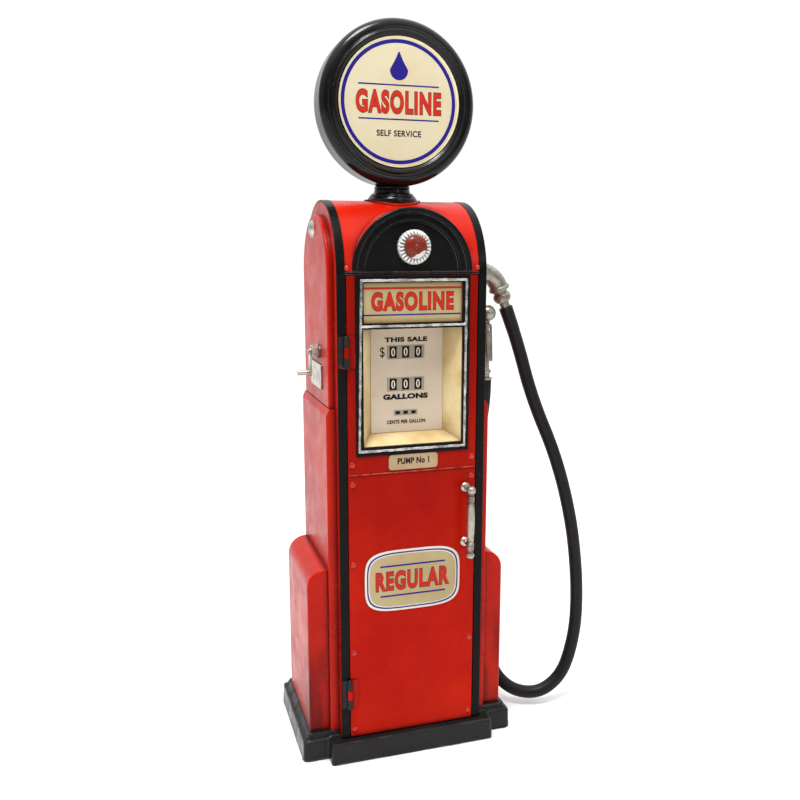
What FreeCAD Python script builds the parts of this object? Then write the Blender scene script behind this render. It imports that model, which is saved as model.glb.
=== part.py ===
import FreeCAD, Part
import math
import os

# Table-top tin model of a 1930s computing fuel pump, with a storage cabinet behind its front door.
# Millimetres. The origin is the middle of the underside of the plinth; the door faces -Y, the
# crank is on -X, the hose and nozzle are on +X, and +Z is up.

V = FreeCAD.Vector
X_AXIS = V(1, 0, 0)
Y_AXIS = V(0, 1, 0)
Z_AXIS = V(0, 0, 1)

# ---- cabinet ----
SHEET = 1.0                # tinplate
FRONT_Y = 46.2             # half depth of the cabinet, and radius of its barrel roof
SPRING_Z = 315.1           # height where the straight walls meet the barrel roof
HALF_WIDTH = 48.1          # outer face of the side sheets
BAND_WIDTH = 5.2           # black edge band, seen from the front
BAND_THICK = 1.2
BAND_PROUD = 0.3           # how far the band stands above the roof and back sheets
OPENING_X = HALF_WIDTH - BAND_WIDTH
PLINTH_TOP = 14.8

# ---- plinth ----
PLINTH_FRONT = (56.6, 52.0)      # half sizes of the front-to-back block
PLINTH_SIDE = (73.5, 42.7)       # half sizes of the side-to-side block
PLINTH_SIDE_TOP = 14.0
PAD_TOP = 18.0                   # raised seat under the side panels
PAD_HALF = (68.0, 39.6)
PLINTH_DRAFT = 0.6

# ---- stepped side panels ----
UPPER_X, UPPER_Y = 52.1, 37.1
MIDDLE_X, MIDDLE_Y = 54.1, 39.0
MIDDLE_FLAT_TOP, MIDDLE_TOP = 229.0, 233.2
FENDER_X, FENDER_Y = 67.4, 36.0
FENDER_FLAT_TOP = 116.4
FENDER_ROUND = 12.3

# ---- arch over the window ----
ARCH_Z = 317.1
ARCH_R = 38.5
RAIL_BOTTOM = 315.5
SIGHT_X, SIGHT_Z = 0.7, 331.8      # the sight glass sits a little off centre
BEZEL_R = 10.5
DOME_R = 7.0
BEZEL_FLUTES = 26
ROOF_RIVETS = (-41.7, 41.7)
ROOF_RIVET_Z = 319.4

# ---- globe ----
GLOBE_Z = 419.8
GLOBE_R = 50.2
GLOBE_SEAM_Y = -4.0
FACE_R = 38.9
FACE_FRONT_Y = -17.8
FACE_BACK_Y = 8.6
COLLAR_R = 16.4
NECK_R = 10.7
COLLAR_TOP = 368.0
FLANGE_R = 18.4
BOLT_R = 2.5

# ---- door ----
DOOR_GAP = 0.5
DOOR_X = OPENING_X - DOOR_GAP
DOOR_BOTTOM, DOOR_TOP = 15.3, 315.0
DOOR_RETURN = 4.6
CREASE_Z = 192.1
RIVET_X = 39.6
RIVET_ROWS = (198.7, 186.0, 133.5, 73.9, 20.4)
RIVET_R = 2.0

# ---- window in the door ----
FRAME_X, FRAME_BOTTOM, FRAME_TOP = 36.9, 203.7, 314.9
FRAME_PROUD = 0.8
SIGN_X, SIGN_BOTTOM, SIGN_TOP = 31.8, 286.3, 310.6
DIAL_X, DIAL_BOTTOM, DIAL_TOP = 32.2, 209.5, 282.6
DIAL_BACK_X, DIAL_BACK_BOTTOM, DIAL_BACK_TOP = 24.0, 215.0, 282.3
DIAL_BACK_Y = -33.0
TRIM_LEVELS = (206.9, 284.4, 312.0)
TRIM_LEFT = (-35.1, -33.8, -33.2)  # the hand-laid left bead leans: its X at each level
TRIM_RIGHT = (33.9, 34.2, 34.4)
TRIM_WIDTH = 1.8
PLATE_Z, PLATE_SIZE = 198.6, (32.4, 9.8)
BADGE_Z, BADGE_SIZE = 120.3, (64.4, 41.0)

# ---- door handle ----
HANDLE_X, HANDLE_Y = 35.8, -56.0
HANDLE_POSTS = (141.5, 178.5)
POST_R = 1.3

# ---- door hinges ----
PIN_X, PIN_Y = -42.95, -47.9
PIN_R = 0.7
KNUCKLE_R = 1.6
HINGE_LEVELS = (46.1, 269.0)
HINGE_LENGTH = 19.5
LEAF = 0.6

# ---- crank on the left side ----
CRANK_Y, CRANK_Z = -11.9, 266.5
CRANK_R = 1.5
CRANK_THROW = 13.6
CRANK_OUT = -57.6          # inner face of the crank arm
FIT = 0.05                 # radial running clearance
SCREW_Y, SCREW_Z = 4.0, 343.2

# ---- hose outlet on the right side ----
OUTLET_Z = 315.5
ELBOW_R, ELBOW_BORE = 6.3, 3.6
ELBOW_BEND_X, ELBOW_BEND_R, ELBOW_TURN = 60.5, 17.0, 68.0
HOSE_R = 4.5

# ---- nozzle on the right side ----
NOZZLE_X = 67.4
NOZZLE_TOP_Z = 286.5
NOZZLE_BOTTOM_Z = 241.0
BOOT_OUT = 56.6
LEVER_PIVOT = V(NOZZLE_X, -4.9, 278.4)
VALVE_X, VALVE_R = 68.4, 5.8       # centre and radius of the round valve head

# Route of the hose between the outlet coupling and the underside of the nozzle. The first two
# points, straight out of the coupling, and the last are worked out from those two pieces.
HOSE_ROUTE = [
    V(101.5, -4.5, 227), V(119.5, -10, 184), V(131, -14, 138), V(135.4, -16.8, 98),
    V(135.5, -19, 65.5), V(132, -19.5, 41.5), V(123.8, -20.5, 20), V(106, -20, 8.2),
    V(86, -13, 10.8), V(74, -3, 26), V(74.5, 8.2, 53), V(74.8, 18, 82), V(73.6, 25, 114),
    V(69, 26, 147), V(66.4, 17, 179), V(67, 5.5, 208), V(67.4, 0, 228),
]


# ---- shape helpers ----
def box(x0, x1, y0, y1, z0, z1):
    return Part.makeBox(x1 - x0, y1 - y0, z1 - z0, V(x0, y0, z0))


def rod(start, end, radius):
    direction = end - start
    return Part.makeCylinder(radius, direction.Length, start, direction)


def rod_x(x0, x1, y, z, radius):
    return rod(V(x0, y, z), V(x1, y, z), radius)


def rod_y(y0, y1, x, z, radius):
    return rod(V(x, y0, z), V(x, y1, z), radius)


def rod_z(z0, z1, x, y, radius):
    return rod(V(x, y, z0), V(x, y, z1), radius)


def mirrored(shape):
    return shape.mirror(V(0, 0, 0), X_AXIS)


def outline(start, *steps):
    """A closed wire. A step is the next corner, or a pair: a point on the arc and its end."""
    edges = []
    here = start
    for step in steps:
        if isinstance(step, tuple):
            edges.append(Part.Arc(here, step[0], step[1]).toShape())
            here = step[1]
        else:
            edges.append(Part.makeLine(here, step))
            here = step
    if here.distanceToPoint(start) > 1e-6:
        edges.append(Part.makeLine(here, start))
    return Part.Wire(edges)


def prism(wire, along):
    return Part.Face(wire).extrude(along)


def turned(wire, centre, axis, angle=360):
    return Part.Face(wire).revolve(centre, axis, angle)


def rounded_rectangle(half_x, half_y, radius, z):
    """A horizontal rectangle with round corners, as a closed wire at height z."""
    inner_x, inner_y = half_x - radius, half_y - radius
    bulge = radius * math.sqrt(0.5)
    steps = []
    for sx, sy in ((1, 1), (-1, 1), (-1, -1), (1, -1)):
        middle = V(sx * (inner_x + bulge), sy * (inner_y + bulge), z)
        on_x = V(sx * half_x, sy * inner_y, z)
        on_y = V(sx * inner_x, sy * half_y, z)
        first, last = (on_x, on_y) if sx * sy > 0 else (on_y, on_x)
        steps += [first, (middle, last)]
    return outline(steps[0], *steps[1:])


def arch_wire(x, half_width, bottom, centre_z=SPRING_Z):
    """Straight walls under a half circle, as a closed wire in the plane at x."""
    return outline(
        V(x, -half_width, bottom), V(x, -half_width, centre_z),
        (V(x, 0, centre_z + half_width), V(x, half_width, centre_z)),
        V(x, half_width, bottom))


def cap_middle(at, radius, foot, top):
    """The middle of an arc centred on the axis, from radius at foot to the axis at top."""
    rise = abs(top - foot)
    up = math.copysign(1, top - foot)
    ball_r = (radius ** 2 + rise ** 2) / (2 * rise)
    half = math.atan2(radius, ball_r - rise) / 2
    return at(ball_r * math.sin(half), top - up * ball_r * (1 - math.cos(half)))


def filleted(shape, radius, picks):
    return shape.makeFillet(radius, [e for e in shape.Edges if picks(e)])


def hexagon_x(x0, x1, y, z, across):
    """A hexagonal prism along X."""
    corner = across / math.sqrt(3)
    points = []
    for k in range(6):
        a = math.radians(60 * k + 30)
        points.append(V(x0, y + corner * math.cos(a), z + corner * math.sin(a)))
    return prism(outline(*points), V(x1 - x0, 0, 0))


def dome(base, direction, radius, height):
    """A shallow spherical cap, flat side on base."""
    ball_r = (radius ** 2 + height ** 2) / (2 * height)
    ball = Part.makeSphere(ball_r, base - direction * (ball_r - height))
    keep = Part.makeCylinder(radius, height + 1, base, direction)
    return ball.common(keep)


# ---- plinth and cabinet shell ----
def drafted_block(half_x, half_y, height, corner):
    low = rounded_rectangle(half_x, half_y, corner, 0)
    high = rounded_rectangle(half_x - PLINTH_DRAFT, half_y - PLINTH_DRAFT, corner, height)
    block = Part.makeLoft([low, high], True)
    return filleted(block, 1.4, lambda e: e.BoundBox.ZMin > height - 0.1)


def base_plinth():
    front = drafted_block(PLINTH_FRONT[0], PLINTH_FRONT[1], PLINTH_TOP, 2.5)
    side = drafted_block(PLINTH_SIDE[0], PLINTH_SIDE[1], PLINTH_SIDE_TOP, 3.0)
    foot = rounded_rectangle(PLINTH_SIDE[0] - 2.2, PLINTH_SIDE[1] - 2.2, 2.5, PLINTH_SIDE_TOP - 0.5)
    seat = rounded_rectangle(PAD_HALF[0], PAD_HALF[1], 1.0, PAD_TOP)
    pad = Part.makeLoft([foot, seat], True)
    pad = pad.cut(box(-HALF_WIDTH - 0.05, HALF_WIDTH + 0.05, -60, 60, PLINTH_TOP, PAD_TOP + 1))
    return front.fuse([side, pad]).removeSplitter()


def right_edge_band():
    outer = arch_wire(OPENING_X, FRONT_Y, PLINTH_TOP)
    inner = arch_wire(OPENING_X, FRONT_Y - BAND_THICK, PLINTH_TOP - 1)
    band = prism(outer, V(BAND_WIDTH, 0, 0)).cut(prism(inner, V(BAND_WIDTH, 0, 0)))
    return filleted(band, 0.4, lambda e: abs(e.BoundBox.XMin - HALF_WIDTH) < 0.01
                    and e.BoundBox.ZMax > PLINTH_TOP + 1
                    and (abs(e.BoundBox.YMin) > FRONT_Y - 0.05 or e.BoundBox.YMax > FRONT_Y - 0.05))


def right_side_sheet():
    wire = arch_wire(HALF_WIDTH - SHEET, FRONT_Y - BAND_THICK - 0.03, PLINTH_TOP)
    return prism(wire, V(SHEET, 0, 0)).cut(outlet_hole())


def left_side_sheet():
    wire = arch_wire(-HALF_WIDTH, FRONT_Y - BAND_THICK - 0.03, PLINTH_TOP)
    return prism(wire, V(SHEET, 0, 0)).cut([bushing_hole(), side_screw_hole()])


def pressed_pan(outer, inner, depth, rounding):
    """A hollow pan pressed from sheet; both outlines lie in the same plane."""
    body = prism(outer, V(depth, 0, 0))
    far = max(body.BoundBox.XMax, 0)
    body = filleted(body, rounding, lambda e: e.BoundBox.XMin > far - 0.01)
    return body.cut(prism(inner, V(depth - SHEET, 0, 0)))


def upper_pan():
    outer = arch_wire(HALF_WIDTH, UPPER_Y, MIDDLE_TOP)
    inner = arch_wire(HALF_WIDTH, UPPER_Y - SHEET, MIDDLE_TOP + SHEET)
    return pressed_pan(outer, inner, UPPER_X - HALF_WIDTH, 1.2)


def right_upper_panel():
    return upper_pan().cut(outlet_hole())


def left_upper_panel():
    return mirrored(upper_pan()).cut([bushing_hole(), side_screw_hole()])


def middle_pan():
    def section(inset, y):
        return outline(
            V(HALF_WIDTH, y, PAD_TOP + inset), V(MIDDLE_X - inset, y, PAD_TOP + inset),
            V(MIDDLE_X - inset, y, MIDDLE_FLAT_TOP - inset * 0.2),
            V(UPPER_X - inset, y, MIDDLE_TOP - inset), V(HALF_WIDTH, y, MIDDLE_TOP - inset))
    outer = prism(section(0, -MIDDLE_Y), V(0, 2 * MIDDLE_Y, 0))
    outer = filleted(outer, 1.2, lambda e: e.BoundBox.XMin > MIDDLE_X - 0.01
                     and e.BoundBox.ZLength > 50)
    inner = prism(section(SHEET, SHEET - MIDDLE_Y), V(0, 2 * (MIDDLE_Y - SHEET), 0))
    return outer.cut(inner)


def fender_pan():
    def section(inset, y):
        radius = FENDER_ROUND - inset
        face = FENDER_X - inset
        slant = radius * math.sqrt(0.5)
        corner = V(face - radius, y, FENDER_FLAT_TOP)
        return outline(
            V(MIDDLE_X, y, PAD_TOP + inset), V(face, y, PAD_TOP + inset), V(face, y, FENDER_FLAT_TOP),
            (corner + V(slant, 0, slant), corner + V(0, 0, radius)),
            V(MIDDLE_X, y, FENDER_FLAT_TOP + radius))
    outer = prism(section(0, -FENDER_Y), V(0, 2 * FENDER_Y, 0))

    def rim(e):
        on_end = abs(abs(e.BoundBox.YMin) - FENDER_Y) < 0.01 and e.BoundBox.YLength < 0.01
        return on_end and e.BoundBox.ZMin > PAD_TOP - 0.01 and e.BoundBox.XMax > MIDDLE_X + 1 \
            and e.BoundBox.ZLength > 1
    outer = filleted(outer, 1.8, rim)
    inner = prism(section(SHEET, SHEET - FENDER_Y), V(0, 2 * (FENDER_Y - SHEET), 0))
    return outer.cut(inner)


def roof_sheet():
    radius = FRONT_Y - BAND_PROUD
    shell = rod_x(-OPENING_X, OPENING_X, 0, SPRING_Z, radius).cut(
        [rod_x(-60, 60, 0, SPRING_Z, radius - SHEET), box(-60, 60, -60, 60, 200, SPRING_Z)])
    hood_hole = rod_y(-60, 0, 0, ARCH_Z, ARCH_R).fuse(box(-ARCH_R, ARCH_R, -60, 0, 300, ARCH_Z))
    holes = [hood_hole, rod_z(340, 380, 0, 0, BOLT_R), box(-60, 60, -60, 0, 300, ARCH_Z)]
    return shell.cut(holes + [rivet_shank(x) for x in ROOF_RIVETS])


def back_panel():
    back = FRONT_Y - BAND_PROUD
    return box(-OPENING_X, OPENING_X, back - SHEET, back, PLINTH_TOP, SPRING_Z)


def top_rail():
    return box(-OPENING_X, OPENING_X, -FRONT_Y + 0.2, -FRONT_Y + 7, RAIL_BOTTOM, ARCH_Z)


# ---- arch, sight glass and roof trim ----
def arch_hood():
    tube = rod_y(-45.2, 0, 0, ARCH_Z, ARCH_R).cut(rod_y(-50, 1, 0, ARCH_Z, ARCH_R - SHEET))
    tube = tube.cut(box(-60, 60, -60, 10, 200, ARCH_Z))
    inside = FRONT_Y - BAND_PROUD - SHEET
    return tube.cut(prism(arch_wire(-60, inside, 200), V(120, 0, 0)))


def arch_plate():
    """A half disc that steps forward in two rings towards its rim."""
    def at(r, y):
        return V(r, y, ARCH_Z)
    wire = outline(
        at(0, -43.4), at(29.9, -43.4), at(30.2, -44.0), (at(30.6, -44.7), at(31.5, -45.0)),
        at(34.9, -45.0), at(35.1, -45.5), (at(35.5, -46.3), at(36.5, -46.6)), at(37.3, -46.6),
        (at(38.15, -46.25), at(ARCH_R, -45.4)), at(ARCH_R, -45.2), at(ARCH_R - SHEET, -45.2),
        at(ARCH_R - SHEET, -42.4), at(0, -42.4))
    plate = turned(wire, V(0, 0, ARCH_Z), Y_AXIS, -180)
    return plate.cut(rod_y(-50, -40, SIGHT_X, SIGHT_Z, DOME_R - 1.2))


def sight_bezel():
    """A pleated ring crimped round the sight glass."""
    def at(r, y):
        return V(SIGHT_X + r, y, SIGHT_Z)
    wire = outline(
        at(DOME_R, -43.4), at(DOME_R, -47.9), (at(9.1, -47.6), at(BEZEL_R, -46.2)),
        at(BEZEL_R, -43.4))
    ring = turned(wire, at(0, 0), Y_AXIS)
    grooves = []
    for k in range(BEZEL_FLUTES):
        a = 2 * math.pi * k / BEZEL_FLUTES
        out = V(math.cos(a), 0, math.sin(a))
        inner = at(0, -48.3) + out * (DOME_R - 0.6)
        outer = at(0, -46.3) + out * (BEZEL_R + 0.8)
        foot = at(0, -43.0) + out * (BEZEL_R + 0.4)
        grooves += [rod(inner, outer, 0.62), rod(foot, foot - Y_AXIS * 3.6, 0.62)]
    return ring.cut(grooves)


def sight_dome():
    """The red glass: a straight-sided cap, gently domed, with a small point in the middle."""
    def at(r, y):
        return V(SIGHT_X + r, y, SIGHT_Z)
    radius = DOME_R - 0.02
    wire = outline(
        at(0, -41.4), at(DOME_R - 1.2, -41.4), at(DOME_R - 1.2, -43.4), at(radius, -43.4),
        at(radius, -48.6), (at(5.6, -49.9), at(1.5, -50.7)),
        (cap_middle(at, 1.5, -50.7, -51.4), at(0, -51.4)))
    return turned(wire, at(0, 0), Y_AXIS)


def rivet_shank(x):
    return rod_y(-46.3, -43.5, x, ROOF_RIVET_Z, 0.7)


def roof_rivets():
    heads = []
    for x in ROOF_RIVETS:
        base = V(x, -46.12, ROOF_RIVET_Z)
        heads.append(dome(base, V(0, -1, 0), 1.7, 1.0).fuse(rod_y(-46.2, -43.5, x, ROOF_RIVET_Z, 0.7)))
    return Part.makeCompound(heads)


def saddle(radius, lift):
    """Everything over the roof within a radius of the neck, up from lift above the sheet."""
    column = rod_z(340, COLLAR_TOP + 5, 0, 0, radius)
    under = rod_x(-60, 60, 0, SPRING_Z, FRONT_Y - BAND_PROUD + lift)
    return column.cut(under)


def roof_flange():
    lip = saddle(FLANGE_R, 0).common(rod_x(-60, 60, 0, SPRING_Z, FRONT_Y - BAND_PROUD + 0.9))
    return lip.cut([rod_z(340, 380, 0, 0, BOLT_R), rod_y(-60, 0, 0, ARCH_Z, ARCH_R)])


def neck_collar():
    """A turned foot for the globe: a wide rounded bead under a narrower shoulder."""
    def at(r, z):
        return V(r, 0, z)
    shoulder = COLLAR_TOP - 3.0
    wire = outline(
        at(0, 340), at(COLLAR_R - 1.5, 340), at(COLLAR_R - 1.5, shoulder - 7.4),
        (at(COLLAR_R, shoulder - 4.6), at(COLLAR_R - 1.3, shoulder - 1.6)),
        (at(COLLAR_R - 1.9, shoulder - 0.9), at(COLLAR_R - 2.2, shoulder - 1.1)),
        (at(COLLAR_R - 2.8, shoulder + 0.4), at(COLLAR_R - 4.4, shoulder + 0.9)),
        at(NECK_R + 0.8, COLLAR_TOP), at(0, COLLAR_TOP))
    return turned(wire, at(0, 0), Z_AXIS).common(saddle(COLLAR_R, 0.9)).cut(rod_z(340, 380, 0, 0, BOLT_R))


def globe_neck():
    """The narrow turned piece between the collar and the globe."""
    def at(r, z):
        return V(r, 0, z)
    wire = outline(
        at(0, COLLAR_TOP), at(NECK_R - 0.2, COLLAR_TOP),
        (at(NECK_R + 0.9, COLLAR_TOP + 1.3), at(NECK_R - 0.2, COLLAR_TOP + 2.6)),
        (at(NECK_R - 0.6, COLLAR_TOP + 3.2), at(NECK_R + 0.4, COLLAR_TOP + 4.6)), at(0, COLLAR_TOP + 4.6))
    neck = turned(wire, V(0, 0, 0), Z_AXIS)
    return neck.cut([rod_y(-30, 30, 0, GLOBE_Z, GLOBE_R + 0.02), rod_z(340, 380, 0, 0, BOLT_R)])


def neck_bolt():
    shank = rod_z(358, 373.5, 0, 0, BOLT_R)
    head = hexagon_x(0, 3.2, 0, 0, 8.0)
    head.rotate(V(0, 0, 0), Y_AXIS, -90)
    head.translate(V(0, 0, SPRING_Z + FRONT_Y - BAND_PROUD - SHEET - 3.6))
    return shank.fuse(head).removeSplitter()


# ---- globe ----
def globe_ring(front):
    """One pressed half of the round globe case, turned about the Y axis through its middle."""
    def at(r, y):
        return V(r, y, GLOBE_Z)
    seam = GLOBE_SEAM_Y
    if front:
        wire = outline(
            at(GLOBE_R, seam), at(GLOBE_R, -11.5), (at(49.0, -16.2), at(46.2, -18.0)),
            (at(44.4, -17.7), at(42.9, -18.2)), (at(41.6, -19.1), at(40.4, -18.4)),
            at(FACE_R + 0.1, -17.2), at(FACE_R + 0.1, -16.0), at(FACE_R - 2.0, -16.0),
            at(FACE_R - 2.0, -15.0), at(42.0, -15.0), (at(46.4, -15.2), at(GLOBE_R - 1.3, -10.5)),
            at(GLOBE_R - 1.3, seam))
    else:
        wire = outline(
            at(GLOBE_R, seam), at(GLOBE_R - 1.3, seam), at(GLOBE_R - 1.5, 0.5),
            (at(46.0, 5.2), at(42.0, 6.0)), at(FACE_R - 2.0, 6.0), at(FACE_R - 2.0, 7.0),
            at(FACE_R + 0.1, 7.0), at(FACE_R + 0.1, 9.0), (at(40.8, 9.6), at(42.2, 8.8)),
            (at(47.4, 6.8), at(GLOBE_R, 0.5)))
    return turned(wire, V(0, 0, GLOBE_Z), Y_AXIS)


def globe_rim_front():
    return globe_ring(True)


def globe_rim_back():
    return globe_ring(False).cut(rod_z(340, 380, 0, 0, BOLT_R))


def globe_faces():
    front = rod_y(FACE_FRONT_Y, FACE_FRONT_Y + 1.8, 0, GLOBE_Z, FACE_R)
    back = rod_y(FACE_BACK_Y - 1.6, FACE_BACK_Y, 0, GLOBE_Z, FACE_R)
    return Part.makeCompound([front, back])


# ---- door ----
def door_holes():
    holes = [rod_y(-50, -40, sx * RIVET_X, z, 0.8) for sx in (-1, 1) for z in RIVET_ROWS]
    holes += [rod_y(-50, -40, HANDLE_X, z, POST_R) for z in HANDLE_POSTS]
    return holes


def door_panel():
    front = -FRONT_Y
    sheet = box(-DOOR_X, DOOR_X, front, front + DOOR_RETURN, DOOR_BOTTOM, DOOR_TOP)
    sheet = filleted(sheet, 0.5, lambda e: e.BoundBox.YMax < front + 0.01)
    sheet = sheet.cut(box(SHEET - DOOR_X, DOOR_X - SHEET, front + SHEET, 0,
                          DOOR_BOTTOM + SHEET, DOOR_TOP - SHEET))
    bead = rod_x(2.5 - DOOR_X, DOOR_X - 0.6, front + 0.1, CREASE_Z, 0.6)
    window = box(-DIAL_X - 0.3, DIAL_X + 0.3, front - 1, front + 2, DIAL_BOTTOM - 0.3, DIAL_TOP + 0.3)
    sign = box(-SIGN_X - 0.3, SIGN_X + 0.3, front - 1, front + 2, SIGN_BOTTOM - 0.3, SIGN_TOP + 0.3)
    return sheet.fuse(bead).cut([window, sign] + door_holes()).removeSplitter()


def window_frame():
    front = -FRONT_Y - FRAME_PROUD
    plate = box(-FRAME_X, FRAME_X, front, -FRONT_Y, FRAME_BOTTOM, FRAME_TOP)
    plate = filleted(plate, 0.4, lambda e: e.BoundBox.YMax < front + 0.01)
    dial = box(-DIAL_X, DIAL_X, front - 1, 0, DIAL_BOTTOM, DIAL_TOP)
    sign = box(-SIGN_X, SIGN_X, front - 1, 0, SIGN_BOTTOM, SIGN_TOP)
    return plate.cut([dial, sign])


def window_trim():
    """Half-round bright beads along the frame's edges and its middle bar."""
    front = -FRONT_Y - FRAME_PROUD
    radius = TRIM_WIDTH / 2
    lefts = [V(x, front, z) for x, z in zip(TRIM_LEFT, TRIM_LEVELS)]
    rights = [V(x, front, z) for x, z in zip(TRIM_RIGHT, TRIM_LEVELS)]
    runs = list(zip(lefts, lefts[1:])) + list(zip(rights, rights[1:])) + list(zip(lefts, rights))
    knots = [Part.makeSphere(radius, corner) for corner in lefts + rights]
    beads = knots[0].fuse(knots[1:] + [rod(start, end, radius) for start, end in runs])
    return beads.cut(box(-60, 60, front, 0, 0, 400)).removeSplitter()


def sign_panel():
    back = SHEET - FRONT_Y
    return box(-DIAL_X - 2.8, DIAL_X + 2.8, back, back + 1.0, SIGN_BOTTOM - 1.0, SIGN_TOP + 1.8)


def dial_tray():
    """A pressed tray whose four walls slope in to its flat back."""
    lip = SHEET - FRONT_Y

    def rectangle(half_x, low, high, y):
        return outline(V(-half_x, y, low), V(half_x, y, low), V(half_x, y, high), V(-half_x, y, high))
    flange = box(-DIAL_X - 2.8, DIAL_X + 2.8, lip, lip + 0.8, DIAL_BOTTOM - 2.5, DIAL_TOP + 2.2)
    bulk = Part.makeLoft([
        rectangle(DIAL_X + 1.0, DIAL_BOTTOM - 1.0, DIAL_TOP + 1.0, lip),
        rectangle(DIAL_BACK_X + 1.0, DIAL_BACK_BOTTOM - 1.0, DIAL_BACK_TOP + 1.0,
                  DIAL_BACK_Y + 0.8)], True, True)
    hollow = Part.makeLoft([
        rectangle(DIAL_X, DIAL_BOTTOM, DIAL_TOP, lip - 0.001),
        rectangle(DIAL_BACK_X, DIAL_BACK_BOTTOM, DIAL_BACK_TOP, DIAL_BACK_Y)], True, True)
    return flange.fuse(bulk).cut(hollow).removeSplitter()


def dial_face():
    return box(-DIAL_BACK_X + 0.1, DIAL_BACK_X - 0.1, DIAL_BACK_Y - 0.3, DIAL_BACK_Y,
               DIAL_BACK_BOTTOM + 0.25, DIAL_BACK_TOP - 0.25)


def name_plate():
    half_x, half_z = PLATE_SIZE[0] / 2, PLATE_SIZE[1] / 2
    plate = box(-half_x, half_x, -FRONT_Y - 0.6, -FRONT_Y, PLATE_Z - half_z, PLATE_Z + half_z)
    return filleted(plate, 2.2, lambda e: e.BoundBox.YLength > 0.5)


def door_badge():
    """A thin plate with bulging sides and round corners."""
    half_x, half_z = BADGE_SIZE[0] / 2, BADGE_SIZE[1] / 2
    power = 2 / 4.2
    points = []
    for k in range(64):
        a = 2 * math.pi * (k + 0.5) / 64
        c, s = math.cos(a), math.sin(a)
        points.append(V(half_x * math.copysign(abs(c) ** power, c), -FRONT_Y,
                        BADGE_Z + half_z * math.copysign(abs(s) ** power, s)))
    curve = Part.BSplineCurve()
    curve.interpolate(points, True)
    return prism(Part.Wire(curve.toShape()), V(0, -0.4, 0))


def door_rivets():
    rivets = []
    for sx in (-1, 1):
        for z in RIVET_ROWS:
            head = dome(V(sx * RIVET_X, -FRONT_Y, z), V(0, -1, 0), RIVET_R, 0.8)
            shank = rod_y(-FRONT_Y, 1.6 - FRONT_Y, sx * RIVET_X, z, 0.8)
            rivets.append(head.fuse(shank).removeSplitter())
    return Part.makeCompound(rivets)


# ---- door handle ----
def handle_grip():
    """A turned bar with a ball at the top and a finial at the bottom."""
    low, high = HANDLE_POSTS

    def at(r, z):
        return V(HANDLE_X + r, HANDLE_Y, z)
    wire = outline(
        at(0, low - 8.4), (cap_middle(at, 2.7, low - 6.0, low - 8.4), at(2.7, low - 6.0)),
        at(2.2, low - 4.6), at(1.3, low - 4.2),
        at(1.3, low - 2.8), at(2.3, low - 2.2), at(2.3, low + 2.4), at(1.9, low + 2.9),
        (at(2.5, low + 14), at(2.1, high - 8.6)), at(1.7, high - 8.3), at(1.7, high - 7.6),
        at(2.1, high - 7.3), at(2.1, high - 3.6), at(1.4, high - 3.0), at(1.4, high - 2.2),
        (cap_middle(at, 1.4, high - 2.2, high + 3.4), at(0, high + 3.4)))
    return turned(wire, at(0, 0), Z_AXIS)


def handle_post(z):
    return rod_y(HANDLE_Y, 3.8 - FRONT_Y, HANDLE_X, z, POST_R)


def handle_posts():
    grip = handle_grip()
    return Part.makeCompound([handle_post(z).cut(grip) for z in HANDLE_POSTS])


def handle_rosettes():
    cups = []
    for z in HANDLE_POSTS:
        cup = dome(V(HANDLE_X, -FRONT_Y, z), V(0, -1, 0), 3.2, 1.6)
        cups.append(cup.cut(rod_y(-60, -40, HANDLE_X, z, POST_R)))
    return Part.makeCompound(cups)


def handle_nuts():
    nuts = []
    for z in HANDLE_POSTS:
        nut = hexagon_x(0, 2.2, 0, 0, 5.0)
        nut.rotate(V(0, 0, 0), Z_AXIS, 90)
        nut.translate(V(HANDLE_X, SHEET - FRONT_Y, z))
        nuts.append(nut.cut(rod_y(-50, -40, HANDLE_X, z, POST_R)))
    return Part.makeCompound(nuts)


# ---- hinges ----
def knuckle(z0, z1):
    return rod_z(z0, z1, PIN_X, PIN_Y, KNUCKLE_R).cut(rod_z(z0 - 1, z1 + 1, PIN_X, PIN_Y, PIN_R + FIT))


def hinge_thirds(z):
    third = HINGE_LENGTH / 3
    bottom = z - HINGE_LENGTH / 2
    return [bottom, bottom + third, bottom + 2 * third, bottom + 3 * third]


def frame_hinge_leaves():
    leaves = []
    for z in HINGE_LEVELS:
        a, b, c, d = hinge_thirds(z)
        leaf = box(-47.7, -44.75, -FRONT_Y - LEAF, -FRONT_Y, a, d)
        parts = [knuckle(a, b - 0.1), knuckle(c + 0.1, d)]
        for low, high in ((a, b - 0.1), (c + 0.1, d)):
            ear = box(-44.8, -43.85, -FRONT_Y - LEAF, -FRONT_Y - 0.05, low, high)
            parts.append(ear.cut(rod_z(low - 1, high + 1, PIN_X, PIN_Y, PIN_R + FIT)))
        leaves.append(leaf.fuse(parts).removeSplitter())
    return Part.makeCompound(leaves)


def door_hinge_leaves():
    leaves = []
    for z in HINGE_LEVELS:
        a, b, c, d = hinge_thirds(z)
        leaf = box(-41.1, -FRAME_X - 0.3, -FRONT_Y - LEAF, -FRONT_Y, a, d)
        ear = box(-42.2, -41.0, -FRONT_Y - LEAF, -FRONT_Y, b + 0.1, c - 0.1)
        leaves.append(leaf.fuse([ear, knuckle(b + 0.1, c - 0.1)]).removeSplitter())
    return Part.makeCompound(leaves)


def hinge_pins():
    pins = []
    for z in HINGE_LEVELS:
        half = HINGE_LENGTH / 2
        pin = rod_z(z - half - 0.4, z + half, PIN_X, PIN_Y, PIN_R)
        cap = dome(V(PIN_X, PIN_Y, z + half), V(0, 0, 1), 1.3, 0.7)
        pins.append(pin.fuse(cap).removeSplitter())
    return Part.makeCompound(pins)


def door_magnet():
    return box(43.1, 47.0, BAND_THICK - FRONT_Y, -38.6, 148, 166)


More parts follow.
